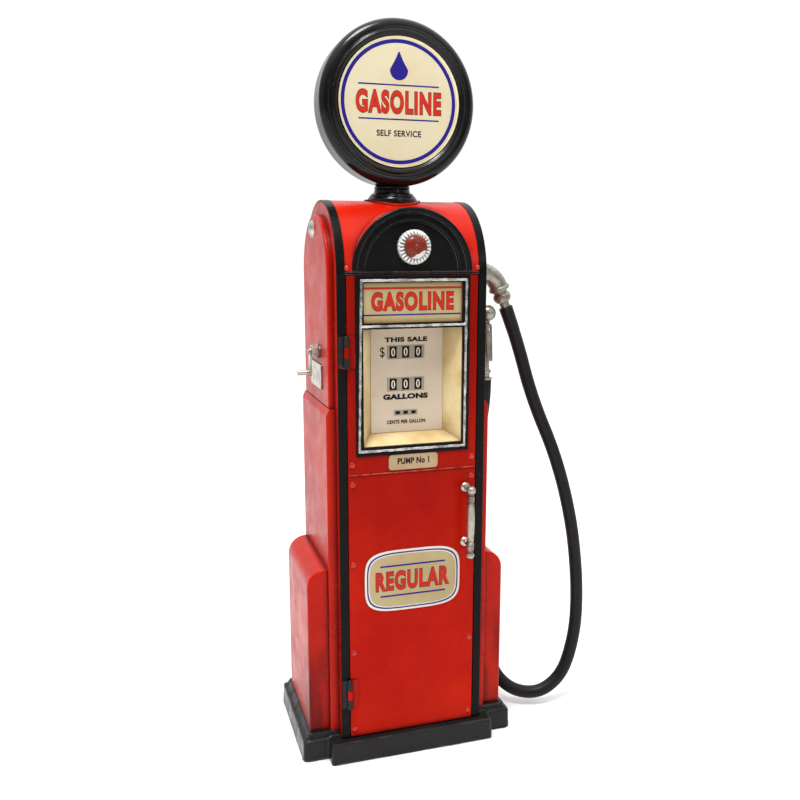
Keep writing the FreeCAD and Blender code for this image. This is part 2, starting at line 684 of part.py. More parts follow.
# ---- left side fittings ----
def side_screw_hole():
    return rod_x(-60, -40, SCREW_Y, SCREW_Z, 2.0)


def bushing_hole():
    return rod_x(-60, -40, CRANK_Y, CRANK_Z, 2.8)


def side_screw():
    head = dome(V(-UPPER_X, SCREW_Y, SCREW_Z), V(-1, 0, 0), 5.9, 3.0)
    slot = box(-60, -UPPER_X - 1.9, SCREW_Y - 0.6, SCREW_Y + 0.6, SCREW_Z - 8, SCREW_Z + 8)
    return head.cut(slot).fuse(rod_x(-UPPER_X, -44, SCREW_Y, SCREW_Z, 2.0)).removeSplitter()


def crank_plate():
    plate = box(-UPPER_X - 0.8, -UPPER_X, -19.5, 12.5, 242.6, 258.4)
    return filleted(plate, 1.0, lambda e: e.BoundBox.XLength > 0.7)


def crank_bushing():
    body = rod_x(-UPPER_X, -46.0, CRANK_Y, CRANK_Z, 2.8).fuse(
        rod_x(-UPPER_X - 0.8, -UPPER_X, CRANK_Y, CRANK_Z, 4.2))
    return body.cut(rod_x(-60, -40, CRANK_Y, CRANK_Z, CRANK_R + FIT)).removeSplitter()


def crank_shaft():
    shaft = rod_x(CRANK_OUT - 2.0, -44.0, CRANK_Y, CRANK_Z, CRANK_R)
    collar = rod_x(-45.7, -44.0, CRANK_Y, CRANK_Z, 3.2)
    return shaft.fuse(collar).removeSplitter()


def crank_nut():
    nut = hexagon_x(CRANK_OUT, -53.3, CRANK_Y, CRANK_Z, 8.2)
    return nut.cut(rod_x(-70, -40, CRANK_Y, CRANK_Z, CRANK_R))


def crank_arm():
    inner = CRANK_OUT
    half = 2.6
    low = CRANK_Z - CRANK_THROW
    wire = outline(
        V(inner, CRANK_Y - half, CRANK_Z),
        (V(inner, CRANK_Y, CRANK_Z + half), V(inner, CRANK_Y + half, CRANK_Z)),
        V(inner, CRANK_Y + half, low),
        (V(inner, CRANK_Y, low - half), V(inner, CRANK_Y - half, low)))
    strip = prism(wire, V(-1.2, 0, 0))
    return strip.cut([rod_x(-70, -40, CRANK_Y, CRANK_Z, CRANK_R), rod_x(-70, -40, CRANK_Y, low, 1.2)])


def crank_pin():
    z = CRANK_Z - CRANK_THROW
    out = CRANK_OUT - 1.2
    pin = rod_x(-66.6, out, CRANK_Y, z, 1.6)
    pin = filleted(pin, 0.4, lambda e: e.BoundBox.XMax < -66.5)
    collar = rod_x(out - 1.0, out, CRANK_Y, z, 2.2)
    return pin.fuse([collar, rod_x(out, CRANK_OUT, CRANK_Y, z, 1.2)]).removeSplitter()


# ---- hose outlet ----
ELBOW_END_TURN = math.radians(ELBOW_TURN)
ELBOW_CENTRE = V(ELBOW_BEND_X, 0, OUTLET_Z - ELBOW_BEND_R)
ELBOW_OUT = V(math.cos(ELBOW_END_TURN), 0, -math.sin(ELBOW_END_TURN))
ELBOW_ARC_END = ELBOW_CENTRE + V(math.sin(ELBOW_END_TURN), 0, math.cos(ELBOW_END_TURN)) * ELBOW_BEND_R
ELBOW_END = ELBOW_ARC_END + ELBOW_OUT * 2.6
COUPLING_LENGTH = 12.6
HOSE_START = ELBOW_END + ELBOW_OUT * COUPLING_LENGTH


def outlet_hole():
    return rod_x(40, 60, 0, OUTLET_Z, ELBOW_BORE + 0.8)


def outlet_flange():
    ring = rod_x(UPPER_X, UPPER_X + 1.6, 0, OUTLET_Z, ELBOW_R + 2.2)
    ring = filleted(ring, 0.6, lambda e: e.BoundBox.XMin > UPPER_X + 1.5)
    return ring.cut(rod_x(40, 60, 0, OUTLET_Z, ELBOW_R))


def swept_tube(points, radius):
    path = Part.Wire(points)
    first = path.Edges[0]
    start = first.valueAt(first.FirstParameter)
    tangent = first.tangentAt(first.FirstParameter)
    ring = Part.Wire(Part.makeCircle(radius, start, tangent))
    return path.makePipeShell([ring], True, True)


def outlet_elbow():
    start = V(UPPER_X, 0, OUTLET_Z)
    bend = V(ELBOW_BEND_X, 0, OUTLET_Z)
    half = ELBOW_END_TURN / 2
    middle = ELBOW_CENTRE + V(math.sin(half), 0, math.cos(half)) * ELBOW_BEND_R
    path = [Part.makeLine(start, bend), Part.Arc(bend, middle, ELBOW_ARC_END).toShape(),
            Part.makeLine(ELBOW_ARC_END, ELBOW_END)]
    outside = swept_tube(path, ELBOW_R)
    bead = rod(ELBOW_END - ELBOW_OUT * 3.0, ELBOW_END, ELBOW_R + 0.8)
    bead = filleted(bead, 1.1, lambda e: e.Length > 5 and e.Curve.TypeId == "Part::GeomCircle")
    spigot = rod_x(45.5, UPPER_X, 0, OUTLET_Z, ELBOW_BORE + 0.8)
    inside = swept_tube(path, ELBOW_BORE)
    return outside.fuse([bead, spigot]).cut([inside, rod_x(40, UPPER_X + 1, 0, OUTLET_Z, ELBOW_BORE)])


def hose_coupling():
    """A rounded union nut between the elbow and the hose, with a plain neck each side."""
    def at(along, r):
        return ELBOW_END + ELBOW_OUT * along + Y_AXIS * r
    wire = outline(
        at(0, 2.6), at(0, 5.0), at(1.8, 4.8), (at(4.9, 6.15), at(8.2, 4.6)), at(8.7, 3.5),
        at(COUPLING_LENGTH, 3.3), at(COUPLING_LENGTH, 2.6))
    return turned(wire, ELBOW_END, ELBOW_OUT)


# ---- hose ----
def hose_points():
    straight_out = HOSE_START + ELBOW_OUT * 23.8
    return [HOSE_START, straight_out] + HOSE_ROUTE + [V(NOZZLE_X, 0, NOZZLE_BOTTOM_Z)]


def hose():
    """Straight runs joined by tangent arcs, each as large as its two runs allow."""
    points = hose_points()
    edges = []
    here = points[0]
    length = 0
    for before, corner, after in zip(points, points[1:], points[2:]):
        back = (before - corner).normalize()
        forward = (after - corner).normalize()
        turn = math.pi - back.getAngle(forward)
        shorter = min((before - corner).Length, (after - corner).Length)
        radius = 0.45 * shorter / math.tan(turn / 2)
        setback = 0.45 * shorter
        start, end = corner + back * setback, corner + forward * setback
        inward = (back + forward).normalize()
        middle = corner + inward * (math.hypot(radius, setback) - radius)
        edges.append(Part.LineSegment(here, start).toShape())
        edges.append(Part.Arc(start, middle, end).toShape())
        length += (start - here).Length + radius * turn
        here = end
        print("hose turn %.0f deg, radius %.1f mm" % (math.degrees(turn), radius))
    edges.append(Part.LineSegment(here, points[-1]).toShape())
    length += (points[-1] - here).Length
    tube = swept_tube(edges, HOSE_R)
    ratio = tube.Volume / (math.pi * HOSE_R ** 2 * length)
    print("hose length %.1f mm, volume ratio %.4f" % (length, ratio))
    return tube


# ---- nozzle ----
def nozzle_boot():
    """The ring that the spout rests in."""
    ring = rod_x(UPPER_X, BOOT_OUT, 0, NOZZLE_TOP_Z, 5.6)
    ring = filleted(ring, 0.8, lambda e: e.BoundBox.XMin > BOOT_OUT - 0.1)
    base = rod_x(UPPER_X, UPPER_X + 1.0, 0, NOZZLE_TOP_Z, 7.2)
    return ring.fuse(base).cut(rod_x(UPPER_X + 0.6, 60, 0, NOZZLE_TOP_Z, 3.2)).removeSplitter()


def nozzle_body():
    """A turned handle that opens into a round valve head."""
    def at(r, z):
        return V(NOZZLE_X + r, 0, z)
    wire = outline(
        at(0, 245.3), at(3.4, 245.3), (at(4.2, 246.6), at(3.4, 248.0)), at(2.9, 248.8), at(2.9, 254.2),
        at(4.0, 255.2), at(4.2, 257.9), at(4.5, 258.1), at(4.5, 259.2), at(3.7, 259.6),
        at(2.4, 272), at(2.2, 276.8), at(2.8, 279.4), at(2.8, 284), at(0, 284))
    body = turned(wire, at(0, 0), Z_AXIS)
    head = Part.makeSphere(VALVE_R, V(VALVE_X, 0, NOZZLE_TOP_Z + 0.6))
    lug = box(NOZZLE_X - 1.0, NOZZLE_X + 1.0, LEVER_PIVOT.y - 1.4, 0, 277.0, 279.8)
    side_boss = rod_x(NOZZLE_X - 5.0, NOZZLE_X, 0, NOZZLE_TOP_Z, 3.1)
    pin_hole = rod_x(NOZZLE_X - 5, NOZZLE_X + 5, LEVER_PIVOT.y, LEVER_PIVOT.z, 0.7)
    return body.fuse([head, lug, side_boss]).cut(pin_hole).removeSplitter()


def nozzle_spout():
    tube = rod_x(53.4, NOZZLE_X - 5.0, 0, NOZZLE_TOP_Z, 2.6)
    collar = rod_x(NOZZLE_X - 6.6, NOZZLE_X - 5.0, 0, NOZZLE_TOP_Z, 3.4)
    return tube.fuse(collar).cut(rod_x(50, NOZZLE_X - 6.6, 0, NOZZLE_TOP_Z, 1.9)).removeSplitter()


def nozzle_swivel():
    pieces = [rod_z(NOZZLE_BOTTOM_Z, NOZZLE_BOTTOM_Z + 1.5, NOZZLE_X, 0, 4.8),
              rod_z(NOZZLE_BOTTOM_Z + 1.5, NOZZLE_BOTTOM_Z + 4.3, NOZZLE_X, 0, 3.2)]
    return pieces[0].fuse(pieces[1]).removeSplitter()


def nozzle_lever():
    """A forked trigger lever in front of the handle."""
    x0, x1 = NOZZLE_X - 1.9, NOZZLE_X + 1.9
    pivot = LEVER_PIVOT

    def section(x):
        return outline(
            V(x, -5.6, 280.0), V(x, -6.6, 278.4), V(x, -8.5, 255.8), (V(x, -7.9, 254.7), V(x, -7.3, 255.8)),
            V(x, -6.1, 269), V(x, -5.2, 274.8), V(x, -3.5, 277.2), V(x, -3.5, 279.4), V(x, -4.1, 280.0))
    bar = prism(section(x0), V(x1 - x0, 0, 0))
    slot = box(NOZZLE_X - 1.2, NOZZLE_X + 1.2, -9, 0, 275.8, 290)
    return bar.cut([slot, rod_x(x0 - 1, x1 + 1, pivot.y, pivot.z, 0.75)])


def lever_pin():
    pivot = LEVER_PIVOT
    return rod_x(NOZZLE_X - 2.2, NOZZLE_X + 2.2, pivot.y, pivot.z, 0.7)


NODES = {
    "base_plinth": base_plinth,
    "left_edge_band": lambda: mirrored(right_edge_band()),
    "right_edge_band": right_edge_band,
    "left_side_sheet": left_side_sheet,
    "right_side_sheet": right_side_sheet,
    "left_upper_panel": left_upper_panel,
    "right_upper_panel": right_upper_panel,
    "left_middle_panel": lambda: mirrored(middle_pan()),
    "right_middle_panel": middle_pan,
    "left_fender_panel": lambda: mirrored(fender_pan()),
    "right_fender_panel": fender_pan,
    "roof_sheet": roof_sheet,
    "back_panel": back_panel,
    "top_rail": top_rail,
    "arch_hood": arch_hood,
    "arch_plate": arch_plate,
    "sight_bezel": sight_bezel,
    "sight_dome": sight_dome,
    "roof_rivets": roof_rivets,
    "roof_flange": roof_flange,
    "neck_collar": neck_collar,
    "globe_neck": globe_neck,
    "neck_bolt": neck_bolt,
    "globe_rim_front": globe_rim_front,
    "globe_rim_back": globe_rim_back,
    "globe_faces": globe_faces,
    "frame_hinge_leaves": frame_hinge_leaves,
    "hinge_pins": hinge_pins,
    "door_magnet": door_magnet,
    "side_screw": side_screw,
    "crank_plate": crank_plate,
    "crank_bushing": crank_bushing,
    "outlet_flange": outlet_flange,
    "outlet_elbow": outlet_elbow,
    "hose_coupling": hose_coupling,
    "hose": hose,
    "nozzle_boot": nozzle_boot,
    "door_panel": door_panel,
    "window_frame": window_frame,
    "window_trim": window_trim,
    "sign_panel": sign_panel,
    "dial_tray": dial_tray,
    "dial_face": dial_face,
    "name_plate": name_plate,
    "door_badge": door_badge,
    "door_rivets": door_rivets,
    "handle_grip": handle_grip,
    "handle_posts": handle_posts,
    "handle_rosettes": handle_rosettes,
    "handle_nuts": handle_nuts,
    "door_hinge_leaves": door_hinge_leaves,
    "crank_shaft": crank_shaft,
    "crank_nut": crank_nut,
    "crank_arm": crank_arm,
    "crank_pin": crank_pin,
    "nozzle_body": nozzle_body,
    "nozzle_spout": nozzle_spout,
    "nozzle_swivel": nozzle_swivel,
    "nozzle_lever": nozzle_lever,
    "lever_pin": lever_pin,
}

os.makedirs("parts", exist_ok=True)
for name, make in NODES.items():
    shape = make()
    shape.exportStep("parts/%s.step" % name)
    if not shape.isValid() or shape.Volume <= 0:
        print("check", name, shape.isValid(), shape.Volume)
print("%d nodes" % len(NODES))
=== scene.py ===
import math

import bmesh
import bpy
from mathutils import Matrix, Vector


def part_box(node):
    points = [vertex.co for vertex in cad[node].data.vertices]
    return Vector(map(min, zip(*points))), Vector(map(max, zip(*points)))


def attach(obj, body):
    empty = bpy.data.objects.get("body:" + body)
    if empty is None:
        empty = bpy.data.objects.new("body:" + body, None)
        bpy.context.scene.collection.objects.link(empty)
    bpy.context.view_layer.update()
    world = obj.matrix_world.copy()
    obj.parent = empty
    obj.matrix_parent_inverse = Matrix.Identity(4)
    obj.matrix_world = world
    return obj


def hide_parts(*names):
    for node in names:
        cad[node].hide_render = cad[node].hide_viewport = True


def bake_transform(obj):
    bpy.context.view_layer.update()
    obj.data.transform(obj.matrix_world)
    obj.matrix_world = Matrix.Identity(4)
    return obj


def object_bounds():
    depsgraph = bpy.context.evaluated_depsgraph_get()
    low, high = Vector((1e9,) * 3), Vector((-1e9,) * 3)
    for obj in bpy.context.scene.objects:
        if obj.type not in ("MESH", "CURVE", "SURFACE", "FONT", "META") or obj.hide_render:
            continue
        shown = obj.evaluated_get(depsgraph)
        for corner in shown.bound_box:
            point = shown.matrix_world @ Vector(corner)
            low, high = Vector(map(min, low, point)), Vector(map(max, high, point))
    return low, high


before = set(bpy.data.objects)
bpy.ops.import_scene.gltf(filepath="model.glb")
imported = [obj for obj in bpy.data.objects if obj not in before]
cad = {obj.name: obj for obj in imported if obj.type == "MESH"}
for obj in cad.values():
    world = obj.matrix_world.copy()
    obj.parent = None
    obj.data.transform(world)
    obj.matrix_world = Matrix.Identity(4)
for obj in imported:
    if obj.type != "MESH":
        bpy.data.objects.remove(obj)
cad_low, cad_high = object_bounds()

# Lengths are in metres. MM turns the drawing's millimetres into them.
MM = 0.001

CREAM = (0.70, 0.58, 0.32)
PAPER = (0.55, 0.49, 0.33)
PRINT_RED = (0.40, 0.018, 0.008)
PRINT_NAVY = (0.012, 0.008, 0.15)
PRINT_BLACK = (0.006, 0.005, 0.005)
PRINT_GREY = (0.16, 0.13, 0.10)


# ---- camera ----
def make_camera():
    """Stands in front and to the left of the door, looking a little down."""
    data = bpy.data.cameras.new("camera")
    data.sensor_width = 36.0
    data.lens = 38.21
    data.clip_start = 0.01
    camera = bpy.data.objects.new("camera", data)
    camera.location = (-0.1612, -0.5428, 0.3310)
    camera.rotation_euler = (math.radians(90 - 10.124), 0.0, math.radians(-17.07))
    bpy.context.scene.collection.objects.link(camera)
    bpy.context.scene.camera = camera


make_camera()


# ---- mesh helpers ----
def link_mesh(name, mesh, body):
    """Puts a mesh in the scene as a piece that rides on a body, if one is given."""
    piece = bpy.data.objects.new(name, mesh)
    bpy.context.scene.collection.objects.link(piece)
    if body:
        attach(piece, body)
    return piece


def give(piece, material):
    """Makes a material the only one on a piece."""
    piece.data.materials.clear()
    piece.data.materials.append(material)


# ---- hose ----
HOSE_DIAMETER = 9.0 * MM
OUTLET_END = Vector((0.081956, 0.0, 0.290775))
OUTLET_DIRECTION = Vector((math.cos(math.radians(68)), 0, -math.sin(math.radians(68))))
HOSE_ROUTE = [
    OUTLET_END, OUTLET_END + OUTLET_DIRECTION * 0.0238,
    (0.1015, -0.0045, 0.227), (0.1195, -0.010, 0.184), (0.131, -0.014, 0.138),
    (0.1354, -0.0168, 0.098), (0.1355, -0.019, 0.0655), (0.132, -0.0195, 0.0415),
    (0.1238, -0.0205, 0.020), (0.106, -0.020, 0.0082), (0.086, -0.013, 0.0108),
    (0.074, -0.003, 0.026), (0.0745, 0.0082, 0.053), (0.0748, 0.018, 0.082),
    (0.0736, 0.025, 0.114), (0.069, 0.026, 0.147), (0.0664, 0.017, 0.179),
    (0.067, 0.0055, 0.208), (0.0674, 0.0, 0.228), (0.0674, 0.0, 0.241),
]
SLEEVE_LENGTH = 20.0 * MM
SLEEVE_RADIUS = 4.8 * MM


def spline_points(route):
    """Points read from a smooth NURBS line through the route's control points."""
    data = bpy.data.curves.new("hose_line", "CURVE")
    data.dimensions = "3D"
    spline = data.splines.new("NURBS")
    spline.points.add(len(route) - 1)
    for point, place in zip(spline.points, route):
        point.co = (*place, 1.0)
    spline.order_u = 3
    spline.use_endpoint_u = True
    spline.resolution_u = 12
    line = bpy.data.objects.new("hose_line", data)
    bpy.context.scene.collection.objects.link(line)
    mesh = bpy.data.meshes.new_from_object(line)
    points = [v.co.copy() for v in mesh.vertices]
    bpy.data.objects.remove(line)
    bpy.data.meshes.remove(mesh)
    return points


def tube_mesh(name, path, radii, sides=40):
    """A closed tube along a path, with a radius for each point of it."""
    mesh = bpy.data.meshes.new(name)
    bm = bmesh.new()
    across = Vector((0, 1, 0))
    rings = []
    for k, (point, radius) in enumerate(zip(path, radii)):
        along = (path[min(k + 1, len(path) - 1)] - path[max(k - 1, 0)]).normalized()
        across = (across - along * across.dot(along)).normalized()
        other = along.cross(across)
        ring = []
        for s in range(sides):
            a = 2 * math.pi * s / sides
            ring.append(bm.verts.new(point + (across * math.cos(a) + other * math.sin(a)) * radius))
        rings.append(ring)
    for ring, following in zip(rings, rings[1:]):
        for s in range(sides):
            t = (s + 1) % sides
            bm.faces.new((ring[s], ring[t], following[t], following[s]))
    bm.faces.new(list(reversed(rings[0])))
    bm.faces.new(rings[-1])
    bmesh.ops.recalc_face_normals(bm, faces=bm.faces)
    for face in bm.faces:
        face.smooth = len(face.verts) == 4
    bm.to_mesh(mesh)
    bm.free()
    return mesh


def part_of(path, length):
    """The path's points up to a length from its start."""
    kept = [path[0]]
    run = 0.0
    for before, after in zip(path, path[1:]):
        run += (after - before).length
        if run > length:
            break
        kept.append(after)
    return kept


def sleeve_radii(path):
    """The strain relief's radius at each point of its path: it tapers to the hose."""
    radii = []
    run = 0.0
    before = path[0]
    for point in path:
        run += (point - before).length
        before = point
        share = min(run / SLEEVE_LENGTH, 1.0)
        radii.append(SLEEVE_RADIUS - (SLEEVE_RADIUS - HOSE_DIAMETER / 2 - 0.03 * MM) * share)
    return radii


def make_hose():
    """The rubber hose and, at its top end, its strain relief."""
    path = spline_points(HOSE_ROUTE)
    mesh = tube_mesh("rubber_hose", path, [HOSE_DIAMETER / 2] * len(path))
    hose = link_mesh("rubber_hose", mesh, None)
    first = part_of(path, SLEEVE_LENGTH)
    dense = []
    for before, after in zip(first, first[1:]):
        dense += [before.lerp(after, k / 4) for k in range(4)]
    dense.append(first[-1])
    sleeve_mesh = tube_mesh("hose_sleeve", dense, sleeve_radii(dense))
    sleeve = link_mesh("hose_sleeve", sleeve_mesh, "cabinet")
    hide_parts("hose")
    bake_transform(hose)
    return hose, sleeve


hose, hose_sleeve = make_hose()


# ---- shader helpers ----
class Finish:
    """A material under construction, with short calls for the node kinds used here."""

    def __init__(self, name, shine=0.5, metallic=0.0, coat=0.0, round_edges=0.0):
        self.material = bpy.data.materials.new(name)
        self.material.use_nodes = True
        self.tree = self.material.node_tree
        self.shader = self.tree.nodes["Principled BSDF"]
        self.shader.inputs["Metallic"].default_value = metallic
        self.shader.inputs["Specular IOR Level"].default_value = shine
        self.shader.inputs["Coat Weight"].default_value = coat
        self.shader.inputs["Coat Roughness"].default_value = 0.12
        self.place = self.add("ShaderNodeTexCoord").outputs["Object"]
        self.surface = None
        if round_edges:
            self.surface = self.soft_normal(round_edges)

    def add(self, kind, **settings):
        node = self.tree.nodes.new(kind)
        for key, value in settings.items():
            setattr(node, key, value)
        return node

    def feed(self, socket, value):
        if isinstance(value, bpy.types.NodeSocket):
            self.tree.links.new(value, socket)
        elif isinstance(value, tuple) and len(value) == 3 and len(socket.default_value) == 4:
            socket.default_value = (*value, 1.0)
        else:
            socket.default_value = value

    def math(self, operation, first, second=0.0):
        node = self.add("ShaderNodeMath", operation=operation)
        self.feed(node.inputs[0], first)
        self.feed(node.inputs[1], second)
        return node.outputs[0]

    def axis(self, letter):
        node = self.add("ShaderNodeSeparateXYZ")
        self.feed(node.inputs[0], self.place)
        return node.outputs[letter]

    def stretched(self, stretch):
        if stretch == (1, 1, 1):
            return self.place
        node = self.add("ShaderNodeVectorMath", operation="MULTIPLY")
        self.feed(node.inputs[0], self.place)
        node.inputs[1].default_value = stretch
        return node.outputs[0]

    def noise(self, scale, detail=3.0, stretch=(1, 1, 1), roughness=0.55):
        node = self.add("ShaderNodeTexNoise")
        self.feed(node.inputs["Vector"], self.stretched(stretch))
        node.inputs["Scale"].default_value = scale
        node.inputs["Detail"].default_value = detail
        node.inputs["Roughness"].default_value = roughness
        return node.outputs["Fac"]

    def specks(self, scale, size):
        """Small scattered dots: 1 in a dot, 0 elsewhere."""
        node = self.add("ShaderNodeTexVoronoi")
        self.feed(node.inputs["Vector"], self.place)
        node.inputs["Scale"].default_value = scale
        return self.span(node.outputs["Distance"], size, size * 0.6)

    def span(self, value, low, high, to_low=0.0, to_high=1.0):
        node = self.add("ShaderNodeMapRange", interpolation_type="SMOOTHSTEP")
        self.feed(node.inputs["Value"], value)
        node.inputs["From Min"].default_value = low
        node.inputs["From Max"].default_value = high
        node.inputs["To Min"].default_value = to_low
        node.inputs["To Max"].default_value = to_high
        return node.outputs["Result"]

    def both(self, first, second):
        return self.math("MULTIPLY", first, second)

    def mix(self, share, first, second):
        node = self.add("ShaderNodeMix", data_type="RGBA")
        self.feed(node.inputs["Factor"], share)
        colors = [s for s in node.inputs if s.type == "RGBA"]
        self.feed(colors[0], first)
        self.feed(colors[1], second)
        return [s for s in node.outputs if s.type == "RGBA"][0]

    def soft_normal(self, radius):
        node = self.add("ShaderNodeBevel", samples=4)
        node.inputs["Radius"].default_value = radius
        return node.outputs["Normal"]

    def edges(self, radius, low=0.02, high=0.22):
        """1 along sharp edges, 0 on flat stretches."""
        dot = self.add("ShaderNodeVectorMath", operation="DOT_PRODUCT")
        self.feed(dot.inputs[0], self.soft_normal(radius))
        self.feed(dot.inputs[1], self.add("ShaderNodeNewGeometry").outputs["Normal"])
        return self.span(self.math("SUBTRACT", 1.0, dot.outputs["Value"]), low, high)

    def recess_shade(self, distance, low=0.55, high=0.95):
        """A mask for painted shade: 1 deep in corners, where shade falls, 0 in the open."""
        node = self.add("ShaderNodeAmbientOcclusion", samples=6)
        node.inputs["Distance"].default_value = distance
        return self.span(node.outputs["AO"], high, low)

    def bump(self, height, depth):
        node = self.add("ShaderNodeBump")
        node.inputs["Distance"].default_value = depth
        self.feed(node.inputs["Height"], height)
        if self.surface is not None:
            self.feed(node.inputs["Normal"], self.surface)
        self.surface = node.outputs["Normal"]

    def done(self, color, roughness=None):
        self.feed(self.shader.inputs["Base Color"], color)
        if roughness is not None:
            self.feed(self.shader.inputs["Roughness"], roughness)
        if self.surface is not None:
            self.feed(self.shader.inputs["Normal"], self.surface)
        return self.material


# ---- finishes ----
def red_enamel(name, shine=0.12, shade=0.0, soot=False, crease_z=None):
    """Brushed-on red paint. Shade is painted shade that darkens it towards the top, soot dirties its
    lower front edge.

    Corners get painted shade. A pressed crease at crease_z has its paint rubbed thin, with a painted
    highlight line along it and painted shade just below it.
    """
    f = Finish(name, shine, round_edges=0.35 * MM)
    f.bump(f.noise(22, 2), 0.22 * MM)
    f.bump(f.noise(420, 2), 0.006 * MM)
    color = f.mix(f.span(f.noise(16, 5), 0.3, 0.7), (0.36, 0.004, 0.0005), (0.47, 0.011, 0.001))
    brushed = f.span(f.noise(60, 4, (1, 1, 0.25)), 0.45, 0.75)
    color = f.mix(f.both(brushed, 0.3), color, (0.30, 0.002, 0.0005))
    if shade:
        # Painted shade: darker towards the top, where less light reaches.
        rise = f.span(f.axis("Z"), 60 * MM, 300 * MM)
        color = f.mix(f.both(rise, shade), color, (0.11, 0.0005, 0.0002))
    if soot:
        near_front = f.span(f.axis("Y"), -14 * MM, -34 * MM)
        low_down = f.span(f.axis("Z"), 100 * MM, 45 * MM)
        streaks = f.span(f.noise(60, 5, (1, 1, 0.22)), 0.32, 0.62)
        dirt = f.both(f.both(near_front, low_down), f.both(streaks, 0.8))
        color = f.mix(dirt, color, (0.035, 0.002, 0.002))
    # Painted shade in corners and hollows.
    color = f.mix(f.both(f.recess_shade(5 * MM), 0.75), color, (0.04, 0.002, 0.002))
    if crease_z:
        off = f.math("ABSOLUTE", f.math("SUBTRACT", f.axis("Z"), crease_z))
        # Along the crease: paint rubbed thin, and a painted highlight line.
        rubbed = f.both(f.span(off, 0.55 * MM, 0.25 * MM), f.span(f.noise(150, 4), 0.38, 0.62))
        color = f.mix(f.both(rubbed, 0.5), color, (0.60, 0.16, 0.10))
        # Painted shade in a band just below the crease.
        below = f.both(f.span(off, 2.2 * MM, 0.6 * MM),
                       f.span(f.axis("Z"), crease_z, crease_z - 0.4 * MM))
        color = f.mix(f.both(below, 0.5), color, (0.10, 0.001, 0.0005))
    chips = f.both(f.edges(0.6 * MM), f.span(f.noise(260, 4), 0.60, 0.68))
    color = f.mix(f.both(chips, 0.75), color, (0.62, 0.20, 0.14))
    return f.done(color, f.span(f.noise(70, 5), 0.25, 0.75, 0.24, 0.38))


def black_enamel(name, low_gloss=0.34, gloss=0.22, depth=0.03 * MM, shine=0.08, rim=0.0):
    """Black gloss paint. Rim is the strength of a painted highlight along its rounded edges."""
    f = Finish(name, shine, round_edges=0.3 * MM)
    f.bump(f.noise(60, 3), 0.15 * MM)
    f.bump(f.noise(500, 3), depth)
    color = f.mix(f.noise(40, 5), (0.002, 0.002, 0.002), (0.006, 0.006, 0.006))
    worn = f.both(f.edges(0.5 * MM), f.span(f.noise(300, 4), 0.56, 0.66))
    color = f.mix(f.both(worn, 0.7), color, (0.16, 0.15, 0.14))
    if rim:
        # Painted highlight along the rounded edges, broken up with noise.
        thin = f.both(f.edges(0.9 * MM, 0.01, 0.16), f.span(f.noise(35, 3), 0.3, 0.6))
        color = f.mix(f.both(thin, rim), color, (0.20, 0.20, 0.195))
    dust = f.both(f.specks(240, 0.07), f.span(f.noise(45, 2), 0.52, 0.6))
    color = f.mix(f.both(dust, 0.5), color, (0.25, 0.24, 0.22))
    return f.done(color, f.span(f.noise(90, 5), 0.25, 0.75, gloss, low_gloss))


def cast_black():
    """Rough black paint on the cast plinth, rubbed to grey along its edges."""
    f = Finish("cast_black", 0.18, round_edges=0.8 * MM)
    f.bump(f.noise(70, 4), 0.7 * MM)
    f.bump(f.noise(450, 4), 0.12 * MM)
    color = f.mix(f.noise(55, 5), (0.005, 0.005, 0.005), (0.016, 0.016, 0.016))
    rubbed = f.both(f.edges(1.6 * MM, 0.01, 0.14), f.span(f.noise(160, 5, (0.35, 0.35, 1)), 0.47, 0.62))
    color = f.mix(f.both(rubbed, 0.75), color, (0.22, 0.215, 0.20))
    return f.done(color, f.span(f.noise(120, 5), 0.3, 0.7, 0.20, 0.36))


def aged_metal(name, light, dark, roughness=0.32, metallic=1.0, knurl=0.0):
    """Dulled metal with painted shade in its corners. Knurl is the scale of a pattern of fine dots."""
    f = Finish(name, metallic=metallic, round_edges=0.2 * MM)
    f.bump(f.noise(700, 4), 0.04 * MM)
    if knurl:
        f.bump(f.specks(knurl, 0.5), 0.12 * MM)
    color = f.mix(f.span(f.noise(150, 6), 0.35, 0.7), light, dark)
    # Painted shade in corners and hollows.
    color = f.mix(f.both(f.recess_shade(2.5 * MM, 0.45, 0.95), 0.85), color, (0.035, 0.026, 0.018))
    return f.done(color, f.span(f.noise(260, 4), 0.25, 0.75, roughness - 0.08, roughness + 0.14))


def brushed_silver_paint():
    """Silver paint brushed over black, which shows through in spots."""
    f = Finish("brushed_silver_paint", metallic=0.85, round_edges=0.2 * MM)
    f.bump(f.noise(260, 4), 0.12 * MM)
    f.bump(f.noise(900, 3), 0.05 * MM)
    bare = f.span(f.noise(170, 5, roughness=0.65), 0.65, 0.72)
    color = f.mix(f.span(f.noise(220, 5), 0.35, 0.7), (0.55, 0.54, 0.52), (0.19, 0.18, 0.17))
    # Painted shade in corners and hollows.
    color = f.mix(f.both(f.recess_shade(1.2 * MM, 0.5, 0.95), 0.8), color, (0.03, 0.03, 0.03))
    color = f.mix(f.both(bare, 0.8), color, (0.03, 0.03, 0.03))
    return f.done(color, f.span(f.noise(300, 3), 0.3, 0.7, 0.24, 0.40))


def bezel_paint():
    """Bright silver paint with painted shade in the gaps between the pleats."""
    f = Finish("bezel_paint", metallic=0.35, round_edges=0.12 * MM)
    f.bump(f.noise(520, 3), 0.08 * MM)
    color = f.mix(f.noise(240, 4), (0.62, 0.61, 0.58), (0.86, 0.86, 0.84))
    # Painted shade in the gaps between the pleats.
    color = f.mix(f.both(f.recess_shade(1.6 * MM, 0.3, 0.85), 0.95), color, (0.07, 0.06, 0.05))
    return f.done(color, f.span(f.noise(300, 3), 0.3, 0.7, 0.26, 0.42))


